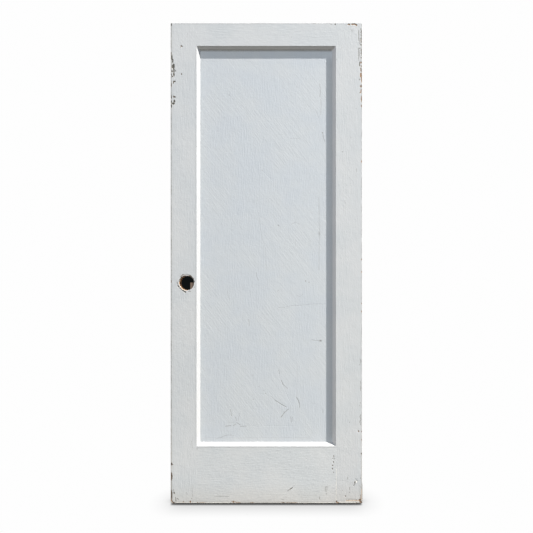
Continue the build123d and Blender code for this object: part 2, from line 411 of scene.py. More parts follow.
def insides(points, mark):
    """How far each point lies inside a mark, in metres, less than nothing outside it."""
    radii = np.array(mark.radii)
    start = np.array(mark.start) / radii
    along = np.array(mark.end) / radii - start
    away = points / radii - start
    length = along @ along
    if length > 0:
        away = away - np.outer(np.clip(away @ along / length, 0, 1), along)
    return (1 - np.linalg.norm(away, axis=1)) * radii.min()


SAME_PLACE = 2e-6


def slice_faces(bm, faces, axis, cuts):
    """Cuts faces by planes across an axis, halving the list of planes each time."""
    if not cuts or not faces:
        return
    middle = len(cuts) // 2
    normal = Vector((0, 0, 0))
    normal[axis] = 1
    parts = set(faces)
    for face in faces:
        parts.update(face.edges)
        parts.update(face.verts)
    made = bmesh.ops.bisect_plane(
        bm, geom=list(parts), dist=SAME_PLACE, plane_co=normal * cuts[middle], plane_no=normal)
    faces = [part for part in made["geom"] if isinstance(part, bmesh.types.BMFace)]
    below = [face for face in faces if face.calc_center_median()[axis] < cuts[middle]]
    above = [face for face in faces if face.calc_center_median()[axis] >= cuts[middle]]
    slice_faces(bm, below, axis, cuts[:middle])
    slice_faces(bm, above, axis, cuts[middle + 1:])


def steps(low, high, step):
    count = max(1, round((high - low) / step))
    return [low + (high - low) * index / count for index in range(1, count)]


class Places:
    """Points sorted by height, so that the few near a mark are found quickly."""

    def __init__(self, points):
        self.points = points
        self.order = np.argsort(points[:, UP])
        self.heights = points[self.order, UP]

    def near(self, mark, reach):
        low = np.minimum(mark.start, mark.end) - reach
        high = np.maximum(mark.start, mark.end) + reach
        first, last = np.searchsorted(self.heights, (low[UP], high[UP]))
        index = self.order[first:last]
        return index[np.all((self.points[index] > low) & (self.points[index] < high), axis=1)]


FINEST_EDGE = 0.9 * MM
COARSEST_EDGE = 2.5 * MM
SEARCHED = 30 * MM
HALVINGS = 6


def narrow_radius(mark):
    return min(mark.radii[ACROSS], mark.radii[UP])


def refine(bm, marks):
    """Halves the edges near the marks until they are short enough to show them."""
    for _ in range(HALVINGS):
        bm.edges.ensure_lookup_table()
        ends = np.array([[*edge.verts[0].co, *edge.verts[1].co] for edge in bm.edges])
        middles = Places((ends[:, :3] + ends[:, 3:]) / 2)
        lengths = np.linalg.norm(ends[:, 3:] - ends[:, :3], axis=1)
        chosen = np.zeros(len(lengths), bool)
        for mark in marks:
            finest = min(max(narrow_radius(mark) * 0.5, FINEST_EDGE), COARSEST_EDGE)
            index = middles.near(mark, max(mark.radii) + SEARCHED)
            index = index[lengths[index] > finest * 1.3]
            close = insides(middles.points[index], mark) > -(lengths[index] * 0.6 + 0.4 * MM)
            chosen[index[close]] = True
        if not chosen.any():
            return
        edges = [bm.edges[index] for index in np.flatnonzero(chosen)]
        bmesh.ops.subdivide_edges(bm, edges=edges, cuts=1, use_grid_fill=True)


def split_wide_faces(bm):
    bmesh.ops.triangulate(bm, faces=[face for face in bm.faces if len(face.verts) > 4])


WIDEST_RIM_MM = 15


def rim_distance(points, sides):
    """How far each point lies from the nearest outer arris, in mm."""
    from_front = np.abs(points[:, THROUGH] - front_y)
    from_faces = np.minimum(from_front, np.abs(points[:, THROUGH] - back_y))
    nearest = np.full(len(points), WIDEST_RIM_MM * MM)
    for axis, place in sides:
        nearest = np.minimum(nearest, np.maximum(np.abs(points[:, axis] - place), from_faces))
    return nearest / MM


FRAY_SIZE = 3.5 * MM
WIDEST_FRAY = 1.0 * MM
WARP = 0.11 * MM
WARP_SIZES = (0.11, 0.035)
ON_PLANE = 0.02 * MM
FAR_OUTSIDE_MM = -4.0
PLAIN_TONE = 0.45


def ripple(point, size, seed):
    return noise.noise(Vector((point[ACROSS] / size, seed, point[UP] / size)))


def read_vectors(mesh, name):
    values = np.zeros(len(mesh.vertices) * 3)
    mesh.vertices.foreach_get(name, values)
    return values.reshape(-1, 3)


def wear(mesh, marks, sides, front, back):
    """Dents the mesh at its marks, warps its flat faces a little, and writes the fields that paint reads."""
    points = read_vectors(mesh, "co")
    normals = read_vectors(mesh, "normal")
    bare = np.full(len(points), FAR_OUTSIDE_MM)
    old = np.full(len(points), FAR_OUTSIDE_MM)
    tone = np.full(len(points), PLAIN_TONE)
    soil = np.zeros(len(points))
    relief = np.zeros(len(points))
    places = Places(points)
    for mark in marks:
        narrow = narrow_radius(mark)
        index = places.near(mark, max(mark.radii) + MARK_REACH)
        frays = np.array([noise.noise(Vector(points[place]) / FRAY_SIZE) for place in index])
        inside = insides(points[index], mark) + frays * min(WIDEST_FRAY, narrow * 0.45)
        share = np.clip(inside / (narrow * 0.6) + 0.15, 0, 1)
        share = share * share * (3 - 2 * share)
        relief[index] = np.maximum(relief[index], share * mark.relief)
        soil[index] = np.maximum(soil[index], share * mark.soil)
        depth = inside / MM
        if mark.tone is not None:
            tone[index] = np.where(depth > bare[index], mark.tone, tone[index])
            bare[index] = np.maximum(bare[index], depth)
        if mark.old:
            old[index] = np.maximum(old[index], depth)
    rim = rim_distance(points, sides)
    points = points - normals * relief[:, None]
    broad, close = WARP_SIZES
    for plane, inward, seed in ((front, 1, 3.7), (back, -1, 8.1)):
        for index in np.flatnonzero(np.abs(points[:, THROUGH] - plane) < ON_PLANE):
            swell = 0.5 + 0.5 * ripple(points[index], broad, seed) + 0.25 * ripple(points[index], close, seed)
            points[index, THROUGH] += inward * WARP * max(swell, 0.0)
    mesh.vertices.foreach_set("co", points.reshape(-1))
    for name, values in (("bare", bare), ("old", old), ("tone", tone), ("soil", soil), ("rim", rim)):
        mesh.attributes.new(name, "FLOAT", "POINT").data.foreach_set("value", values.astype(np.float32))
    mesh.update()


SAME_CORNER = 1e-6
FLAT_ANGLE = math.radians(0.3)
SHARP_ANGLE = math.radians(28)


def build_board(name, marks, kind_of_face, cuts, sides, materials,
                front=front_y, back=back_y):
    """A board's piece in place of its CAD node: the same shape, cut finely enough to be worn."""
    bm = bmesh.new()
    bm.from_mesh(frame["nodes"][name].data)
    bmesh.ops.remove_doubles(bm, verts=bm.verts, dist=SAME_CORNER)
    bmesh.ops.dissolve_limit(bm, angle_limit=FLAT_ANGLE, verts=bm.verts, edges=bm.edges)
    for axis, places in cuts:
        slice_faces(bm, bm.faces[:], axis, places)
    split_wide_faces(bm)
    refine(bm, marks)
    split_wide_faces(bm)
    bmesh.ops.recalc_face_normals(bm, faces=bm.faces)
    for face in bm.faces:
        face.smooth = True
        face.material_index = kind_of_face(face.calc_center_median(), face.normal)
    mesh = bpy.data.meshes.new("worn_" + name)
    bm.to_mesh(mesh)
    bm.free()
    for leftover in ("custom_normal", "sharp_edge", "sharp_face"):
        if leftover in mesh.attributes:
            mesh.attributes.remove(mesh.attributes[leftover])
    for material in materials:
        mesh.materials.append(material)
    wear(mesh, marks, sides, front, back)
    mesh.set_sharp_from_angle(angle=SHARP_ANGLE)
    piece = add_object("worn_" + name, mesh)
    even = piece.modifiers.new("even normals", "WEIGHTED_NORMAL")
    even.keep_sharp = True
    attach(piece, "root")
    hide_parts(name)


# Which material a face of a board takes, told by its place and normal
FACE, BEVEL, RAW, EDGE = range(4)
SLOPED, SQUARE = 0.3, 0.9
SLIGHT = 0.2 * MM
PAINT_LAP = 3 * MM
GROOVE_HALF = 5.1 * MM
GROOVE_FROM_EDGE = 80 * MM
PLATE_HALF_HEIGHT = 29 * MM
PLATE_HALF_WIDTH = 13 * MM
GAIN_HALF_HEIGHT = 44.6 * MM
GAIN_REACH = 30 * MM
GAIN_FROM_FRONT = 5.9 * MM
OFF_BACK = 0.01 * MM
HEAD_MARGIN = 10 * MM


def stile_face(centre, normal, edge_x, joint_x):
    outward = math.copysign(1, edge_x - joint_x)
    in_groove = abs(centre.x - edge_x) > GROOVE_FROM_EDGE and abs(centre.y - middle_y) < GROOVE_HALF
    if in_groove or normal.z < -SQUARE:
        return RAW
    if (joint_x - centre.x) * outward > SLIGHT / 2 and abs(normal.x) > SLOPED:
        return BEVEL
    if normal.x * outward > SQUARE or normal.z > SQUARE:
        return EDGE
    return FACE


def lock_stile_face(centre, normal):
    from_middle = abs(centre.y - middle_y)
    from_bore = math.hypot(centre.x - lock_bore_x, centre.z - lock_bore_z)
    in_bore = from_bore < lock_bore_radius + SLIGHT and from_middle < leaf_thickness / 2 - PAINT_LAP
    let_in = abs(centre.z - lock_bore_z) < PLATE_HALF_HEIGHT and from_middle < PLATE_HALF_WIDTH
    in_edge = let_in and lock_edge_x + SLIGHT < centre.x < lock_bore_x
    return RAW if in_bore or in_edge else stile_face(centre, normal, lock_edge_x, lock_joint_x)


def in_gain(centre, normal):
    for height in gain_heights:
        if abs(centre.z - height) < GAIN_HALF_HEIGHT and -GAIN_REACH < centre.x < SLIGHT / 2:
            on_floor = centre.y > front_y + GAIN_FROM_FRONT and abs(centre.y - back_y) > OFF_BACK
            if on_floor or abs(normal.z) > SQUARE:
                return True
    return False


def hinge_stile_face(centre, normal):
    return RAW if in_gain(centre, normal) else stile_face(centre, normal, hinge_edge_x, hinge_joint_x)


def rail_face(centre, normal):
    if centre.z > head_z - SLIGHT:
        return EDGE
    in_groove = abs(centre.y - middle_y) < GROOVE_HALF and abs(centre.z - head_z) > HEAD_MARGIN
    if centre.z < foot_z + SLIGHT or abs(normal.x) > SLOPED or in_groove:
        return RAW
    above_flat = centre.z > bottom_high.z - bevel_width - MM
    if abs(normal.y) < SQUARE and abs(normal.z) > SLOPED and above_flat:
        return BEVEL
    return FACE


def panel_face(centre, normal):
    return FACE


# What a chip shows, from undercoat to wood that is black with dirt
PALE, ORANGE, BROWN, OLIVE = -1.0, 0.3, 0.55, 0.95

# The marks of each board. A chip has its place, half width and half height in pixels of the
# photograph, its relief in mm and its tone. A stain has its dirt in place of the tone. A splinter has its
# half width and relief in mm, its tone and the pixels that it runs through. A scratch has in place of the
# tone its darkening: dirt, and in a few marks painted shade.
LOCK_CHIPS = (
    # Large flaked stretch near the top
    (171.8, 57.5, 0.75, 2.8, 0.5, OLIVE),
    (172.6, 61, 0.64, 2.3, 0.5, OLIVE),
    (173.5, 66.5, 1.08, 3.2, 0.8, OLIVE),
    (173.9, 70.5, 0.78, 2, 0.7, OLIVE),
    (175.6, 71, 0.5, 0.6, 0.4, 0.9),
    (173.8, 74.5, 0.75, 2.1, 0.5, 0.8),
    (172.2, 66.5, 0.49, 1.6, 0.4, 0.8),
    (172, 71.5, 0.63, 1.06, 0.4, 0.7),
    (172.4, 76.5, 0.5, 0.89, 0.3, 0.7),
    (171.3, 75, 0.4, 1.2, 0.4, 0.75),
    (174.3, 81.4, 1.6, 0.68, 0.5, 0.85),
    (173.4, 82.8, 0.52, 0.83, 0.3, 0.7),
    (174.4, 97, 1.42, 0.91, 0.4, 0.75),
    (173.6, 96, 0.35, 0.35, 0.3, 0.6),
    (174.3, 101.2, 0.96, 1.38, 0.5, OLIVE),
    (173.4, 103.6, 1.34, 1.24, 0.6, OLIVE),
    # Down the edge
    (171.2, 24.5, 0.61, 1.8, 0.4, 0.9),
    (171.2, 53.5, 0.37, 1.4, 0.4, 0.6),
    (171.2, 85, 0.47, 2.1, 0.4, 0.6),
    (171.3, 97, 0.49, 2, 0.4, 0.8),
    (171.3, 102, 0.48, 1.5, 0.4, 0.8),
    (171.4, 106, 0.62, 1.8, 0.5, OLIVE),
    (171.1, 281.5, 0.57, 1.32, 0.4, BROWN),
    (171.3, 464, 1.15, 1.5, 0.5, 0.7),
    (172.5, 464.6, 0.63, 0.31, 0.3, BROWN),
    (171.3, 476.4, 1.15, 4, 0.5, 0.64),
    (171.3, 495, 1.05, 5.6, 0.4, 0.66),
    # Foot
    (183.3, 501.9, 0.7, 0.6, 0.5, ORANGE),
    (190.3, 501.8, 0.77, 1.05, 0.6, 0.45),
    (174.2, 493, 0.75, 0.9, 0.3, 0.85),
    # On the face
    (181.5, 46.3, 0.78, 0.88, 0.5, 0.7),
    (181.5, 74.1, 0.55, 0.83, 0.3, 0.75),
)
LOCK_STAINS = (
    (171.5, 270.3, 0.5, 0.8, 0.3, 0.8),
    (191.6, 498.6, 0.5, 0.6, 0.2, 1),
    (194.4, 287.4, 0.8, 0.6, 0.2, 0.6),
)
LOCK_SPLINTERS = (
    # Foot
    (2.2, 0.5, BROWN, (171.4, 499.5), (172.2, 502), (174.5, 503)),
    # Painted highlight: a pale line along the foot's arris
    (0.9, 0, PALE, (176.5, 502.3), (181.5, 502.4), (189, 502.3), (200, 502.5)),
    # Old outline of a lock rose round the bore
    (1.5, 0.2, 0.6, (180.6, 277), (181.6, 275.6), (183, 274.8)),
    (1.7, 0.2, 0.6, (190, 275.6), (191.4, 276.6), (193.4, 278.8)),
    (2.4, 0.1, 1, (178, 285.4), (178.6, 286.5), (179.2, 286.8)),
    (2.3, 0.05, 1, (179.2, 286.9), (180.1, 288), (181, 288.9), (182.2, 289.9), (183.7, 290.8)),
    (2.7, 0.3, 0.95, (183.8, 290.9), (184.4, 291.4), (185.5, 292.1)),
    # Where the bore's rim is broken away: dents, whose near-black tones are painted shade where the bore's
    # darkness shows
    (3, 1.9, 0.97, (189.4, 276.3), (191.4, 277.4), (193, 279.5), (193.9, 281.8)),
    (1.8, 1.2, 0.97, (183, 276.5), (185, 276)),
    (2.2, 1.2, 0.72, (179.4, 281.8), (179.9, 279.8), (181.2, 277.8), (183.2, 276.5)),
    (1.6, 0.9, 0.1, (179.4, 282.2), (179.5, 284.6)),
)
LOCK_SCRATCHES = (
    # Down the edge
    (2.6, 0, 0.55, (171.2, 480), (171.2, 490)),
    # Foot
    (1.7, 0.2, 1, (173.2, 489.5), (173.8, 491.5), (174.6, 493.5)),
    (2.4, 0.1, 0.95, (175.5, 497.5), (175.9, 501)),
    (2.2, 0.1, 0.95, (176.8, 498.2), (178.6, 499.6)),
    (1.2, 0.2, 0.63, (186.2, 492.4), (187.2, 494.4)),
    (1.1, 0.2, 0.5, (192.6, 486), (192.2, 491), (192.7, 497)),
    (1, 0.2, 0.51, (191.2, 441), (191.8, 444.5), (192.4, 448)),
    (2.2, 0, 0.2, (195.4, 50), (195.4, 160), (195.3, 290), (195.2, 443)),
    # On the face
    (1.7, 0.5, 0.83, (180.2, 47.8), (181.3, 45.2), (182.6, 46.6)),
    # Old outline of a lock rose round the bore
    (1.6, 0.2, 1, (183, 274.6), (187, 274.4), (190, 275), (191.4, 276.2)),
    (1.9, 0.25, 1, (177.2, 282.2), (177.7, 284.4)),
    (1.7, 0.15, 0.9, (188.5, 291.4), (191, 291.4)),
)
HINGE_CHIPS = (
    # Top corner and the flaked strip below it
    (356, 25.4, 0.8, 0.55, 0.6, 0.15),
    (348.9, 24.4, 1.6, 0.7, 0.4, 0.5),
    (360.4, 29.4, 0.45, 0.6, 0.4, 0.7),
    (361.4, 34, 0.22, 5, 0.2, 0.85),
    (361, 40.5, 0.44, 1.2, 0.3, 0.5),
    (361.4, 53, 0.25, 4, 0.2, 0.85),
    (361, 62.5, 0.82, 1.02, 0.5, 0.4),
    (361.2, 66.3, 0.6, 0.9, 0.4, 0.5),
    (361, 75, 1.1, 2.4, 0.9, 0.28),
    (361.4, 79.5, 0.55, 3.3, 0.8, 0.32),
    (361, 86.2, 0.95, 1.24, 0.6, 0.55),
    (361.3, 99, 0.56, 3, 0.6, 0.4),
    (361.4, 106, 0.52, 1.24, 0.6, 0.5),
    # Down the edge
    (361.5, 161.5, 0.4, 1.5, 0.3, 0.3),
    (358.6, 431.2, 0.65, 0.75, 0.4, 0.5),
    (361.4, 431.5, 0.4, 0.8, 0.3, 0.6),
    (361.5, 440, 0.4, 0.8, 0.3, 0.6),
    (361.3, 454, 0.5, 1.2, 0.3, 0.7),
    # Joint and foot
    (354.9, 482.6, 0.65, 1.1, 0.7, 0.75),
    # Painted highlight: a pale spot where a raised flake catches the light
    (356.6, 481.5, 0.7, 1, 0, PALE),
    (345.4, 496.2, 0.45, 0.67, 0.3, 0.7),
    # Bare strip along the foot
    (336.4, 501.6, 0.75, 1, 0.6, 0.55),
    (356.6, 502.5, 0.6, 0.45, 0.4, 0.7),
)
HINGE_STAINS = (
    # Top corner and the flaked strip below it
    (346, 25, 0.9, 0.7, 0.2, 0.2),
    (341, 24.2, 1.4, 0.5, 0.2, 0.3),
    (359.5, 48.3, 1.4, 0.7, 0.3, 1),
    (359.3, 53.5, 0.9, 5, 0.15, 0.62),
    (359.8, 62, 0.9, 0.8, 0.3, 0.67),
    (359.4, 79.7, 0.43, 1.2, 0.3, 1),
    (359.6, 92.8, 0.5, 0.6, 0.3, 1),
    (359.9, 102.4, 0.4, 0.5, 0.2, 0.5),
    # On the face
    (336.5, 59.5, 0.5, 0.6, 0.3, 0.96),
    (350, 53, 0.5, 0.8, 0.2, 0.14),
    (343.2, 30.5, 0.4, 0.6, 0.2, 0.29),
    (341.8, 47.5, 0.7, 0.4, 0.15, 0.35),
    (335.8, 36, 0.4, 1, 0.15, 0.16),
    (335.5, 40.4, 0.4, 0.6, 0.15, 0.4),
    (342.4, 151.7, 0.6, 0.8, 0.3, 0.84),
    (349.3, 422.4, 0.5, 0.6, 0.25, 0.63),
    (346.6, 431.3, 0.6, 0.5, 0.2, 0.63),
    # Down the edge
    (359.6, 364.8, 0.6, 0.5, 0.3, 0.63),
    (359.6, 405.4, 0.5, 0.6, 0.3, 0.64),
    (360.3, 402.8, 0.55, 0.85, 0.25, 1),
    (360.4, 461.6, 0.4, 0.8, 0.2, 0.6),
    (361.1, 467, 0.4, 0.7, 0.2, 0.6),
    # Joint and foot
    (335.9, 479.3, 0.5, 0.6, 0.2, 0.7),
    (335.6, 489.4, 0.5, 0.8, 0.2, 0.6),
    (357.4, 478.6, 0.4, 0.5, 0.2, 0.3),
    (355.2, 479, 0.5, 0.5, 0.2, 0.7),
    (360.3, 478.4, 0.6, 1, 0.3, 0.75),
    (360.5, 475.8, 0.4, 0.5, 0.2, 0.25),
    (349.6, 492.4, 0.45, 0.9, 0.2, 0.8),
)
HINGE_SPLINTERS = (
    # Top corner and the flaked strip below it
    (3.2, 0.7, 0.44, (351.8, 24.3), (354.8, 24), (356.6, 25.3)),
    (1.8, 0.35, 0.85, (359.6, 62.5), (359.4, 66)),
    (2.2, 0.6, 0.5, (360.6, 68.5), (361.2, 71.5)),
    (2.2, 0.6, 0.4, (361.1, 89.8), (360.8, 93)),
    # Joint and foot
    # Painted highlight: a pale line where a paint ridge along the joint catches the light
    (0.8, 0, PALE, (336.5, 469), (336.4, 500)),
    (1.1, 0.3, 0.5, (360.2, 494.8), (360.6, 496.6), (360.7, 500.2)),
    # Bare strip along the foot
    (2.2, 0.15, -0.42, (346.5, 500.6), (353, 500.4), (358.5, 500.7)),
    (1.7, 0.1, -0.85, (339, 501.9), (346, 501.9), (357.5, 502)),
    (1.9, 0.5, 0.4, (336.8, 502.3), (338.6, 502.7)),
    (4.2, 0.7, 0.5, (359.6, 500), (360.6, 502), (361.4, 502.6)),
    (0.9, 0.3, -0.3, (361.7, 489), (361.7, 500)),
)
HINGE_SCRATCHES = (
    # Top corner and the flaked strip below it
    (1.3, 0.3, 1, (358.4, 30.5), (358.6, 36), (358.3, 40.5)),
    (1.5, 0.3, 0.74, (360, 38), (359, 42.5), (360.6, 45.5)),
    (1.3, 0.3, 1, (358.4, 48), (358.2, 54), (358.5, 60.5)),
    (5.5, 0.1, 0.25, (360, 31), (360, 45)),
    (5.5, 0.1, 0.25, (360, 49), (360, 60)),
    (1.3, 0, 0.4, (335.6, 48), (335.6, 160), (335.6, 300), (335.6, 444)),
    # On the face
    (1.2, 0.2, 0.43, (350.5, 30), (352.6, 31.8)),
    (1, 0.2, 0.63, (356.6, 168), (356.4, 172)),
    (1, 0.2, 0.21, (349, 177.5), (351.5, 180), (353.5, 182.5)),
    (1, 0.2, 0.53, (344.2, 200.6), (345.8, 203.4)),
    (1, 0.2, 0.16, (345, 369.5), (346, 371.8)),
    (0.9, 0.15, 0.12, (346.5, 377), (347.2, 379)),
    # Down the edge
    (1.5, 0.3, 0.77, (359.9, 359), (360.8, 361.2), (360, 363.6)),
    (1.1, 0.25, 0.94, (360.6, 381), (360.2, 385), (360.6, 391)),
    (1.5, 0.35, 1, (361, 414.6), (359.9, 416.8), (361, 419.2), (359.8, 421.6), (360.4, 424.8)),
    # Joint and foot
    (1.3, 0.3, 0, (336.55, 447), (336.5, 462), (336.6, 469)),
    # Painted shade: a dark line on the shaded side of the paint ridge along the joint
    (1.2, 0, 0.15, (335.2, 470), (335.2, 499)),
    (1, 0.25, 0.4, (337.5, 480), (341, 480.4), (345, 481), (348, 481.8)),
    (1.5, 0.2, 0.9, (347.6, 477), (347.3, 479.4)),
    (2.4, 0.7, 1, (355.2, 481.2), (354.8, 483.2), (353.6, 485.8)),
    (4.6, 0.7, 0, (356.2, 479.8), (356.6, 481.4)),
    (1.2, 0.25, 0.84, (359.6, 485.8), (361, 488.2)),
    (1, 0.2, 0.2, (356.8, 493), (358.6, 494.2)),
    (1.2, 0.2, 0.63, (359.4, 491.5), (360.6, 493.4)),
    (1.4, 0.2, 0.8, (349.5, 487.6), (349.6, 490)),
    (1, 0.2, 0.63, (342, 490), (343.2, 491.4)),
    (1, 0.25, 0.1, (339, 495.4), (344, 496), (352, 495.4)),
    # Bare strip along the foot
    (1.4, 0.25, 0.7, (345.5, 499.3), (350.5, 499), (357, 499.4)),
    (2.3, 0.35, 1, (362.1, 484), (362.2, 492), (362.1, 499)),
    (4.5, 0, 0.14, (359.6, 484), (359.8, 498)),
)
TOP_CHIPS = (
    (335.4, 24.3, 0.82, 0.73, 0.3, 0.85),
)
TOP_STAINS = (
    (331.2, 24.3, 1.2, 0.7, 0.25, 0.6),
    (329.2, 23.8, 0.8, 0.6, 0.25, 0.2),
)
TOP_SCRATCHES = (
    (1.2, 0.25, 0.63, (312, 23.6), (316, 23.7)),
    (1.3, 0.55, 0, (336.3, 25), (336.3, 45)),
    (1.3, 0.4, 0.04, (196.5, 25), (196.5, 45)),
    (1.6, 0, 0.55, (198.5, 46.3), (265, 46.3), (334.5, 46.3)),
)
BOTTOM_CHIPS = (
    (333.6, 456.4, 0.35, 0.83, 0.4, 0.72),
    (333.4, 462, 0.52, 0.69, 0.4, 0.8),
    (332.6, 465.5, 0.59, 0.59, 0.4, 0.75),
    (332.4, 468.8, 0.56, 0.8, 0.4, 0.8),
    (332.4, 458.6, 0.4, 0.4, 0.2, 0.7),
    (197.4, 502.4, 0.6, 0.35, 0.2, 0.4),
    (233.6, 502.2, 0.8, 0.5, 0.2, 0.4),
)
BOTTOM_STAINS = (
    (333.9, 459, 0.6, 0.8, 0.4, 1),
    (333.5, 472.3, 0.5, 0.9, 0.3, 1),
    (196.8, 448.8, 0.65, 1.3, 0.2, 1),
    (326.4, 489, 1.9, 2.9, 0, 0.6),
    (326.2, 494, 0.7, 0.6, 0.2, 1),
)
BOTTOM_SPLINTERS = (
    (1.6, 0.2, 0.85, (290.2, 489.2), (292.2, 487.7)),
    (0.7, 0.1, 0, (200.5, 502.4), (204.5, 502.3)),
    (1.5, 0.3, 0.45, (231.6, 501.6), (233.5, 501.3), (235.4, 501.7)),
    (1.2, 0.15, 0.36, (236, 502.5), (240.5, 502.5)),
    (0.8, 0.1, 0.3, (250, 502.5), (254, 502.5)),
    (1.1, 0.2, 0.4, (281, 502.3), (284.5, 502.5)),
    (0.7, 0.1, 0.2, (286, 502.6), (297, 502.6)),
    # Painted highlights: pale lines along the foot's arris
    (1.2, 0, PALE, (205, 502.5), (230, 502.4)),
    (1.2, 0, PALE, (298, 502.5), (334, 502.4)),
)
BOTTOM_SCRATCHES = (
    (1.3, 0.2, 0.25, (196.4, 447.6), (196.3, 462), (196.4, 480), (196.3, 500)),
    (1.7, 0.2, 1, (287.5, 491), (291, 488.5)),
    (1.1, 0.2, 0.6, (292, 487.8), (294, 486)),
    (2.4, 0.05, 0.55, (328.2, 486.7), (325.6, 487), (325, 489.6), (326.2, 491.8)),
    (1.5, 0.25, 1, (319.3, 496.8), (319.4, 498.6), (320, 499.6)),
    (1.3, 0.3, 0, (214.8, 494.2), (217.5, 494.4)),
    (1.2, 0.25, 0, (221.5, 493.9), (225, 494.3)),
    (1.3, 0.05, 0.7, (214.6, 496.5), (221, 496.3), (229, 496.4)),
    (0.9, 0.25, 0.12, (265, 494.6), (276, 495.6), (287, 494.8)),
    (1, 0.25, 0.14, (330, 493), (335.4, 494.6)),
    (1.7, 0.2, 0.9, (281, 499.2), (284, 500)),
    (1.2, 0.25, 0.63, (268, 500.2), (271.5, 500)),
    (2.2, 0, 0.3, (197.5, 447.5), (265, 447.5), (335, 447.5)),
)
PANEL_STAINS = (
    # Crack from the right edge
    (320.5, 340.8, 1.7, 1.2, 0.3, 1),
    # Low down
    (322.8, 411.5, 0.9, 3, 0.15, 0.22),
    (258.6, 386.4, 0.6, 0.5, 0.15, 0.4),
    (263.4, 390.8, 0.9, 0.4, 0.15, 0.42),
    (265.5, 393.6, 0.5, 0.6, 0.15, 0.78),
    (252.8, 375.2, 0.5, 0.8, 0.15, 0.42),
    (253.2, 399.4, 0.8, 0.4, 0.15, 0.55),
    # Higher up
    (278.2, 225.4, 0.9, 1.2, 0.2, 0.56),
    (262.1, 170.5, 0.9, 0.8, 0.25, 0.37),
    (229, 95.4, 0.9, 0.7, 0.2, 0.35),
    (296.6, 86.9, 0.6, 0.6, 0.2, 0.31),
    (322.4, 132.9, 0.8, 0.9, 0.3, 0.87),
    (319.2, 233.5, 1.3, 3.4, 0.15, 0.59),
    (305.5, 281, 0.6, 1.2, 0.15, 0.64),
    (309, 282.2, 0.8, 0.5, 0.15, 0.83),
    (276.8, 322.2, 0.6, 0.6, 0.15, 0.2),
    (238.4, 309, 0.6, 0.5, 0.15, 0.29),
)
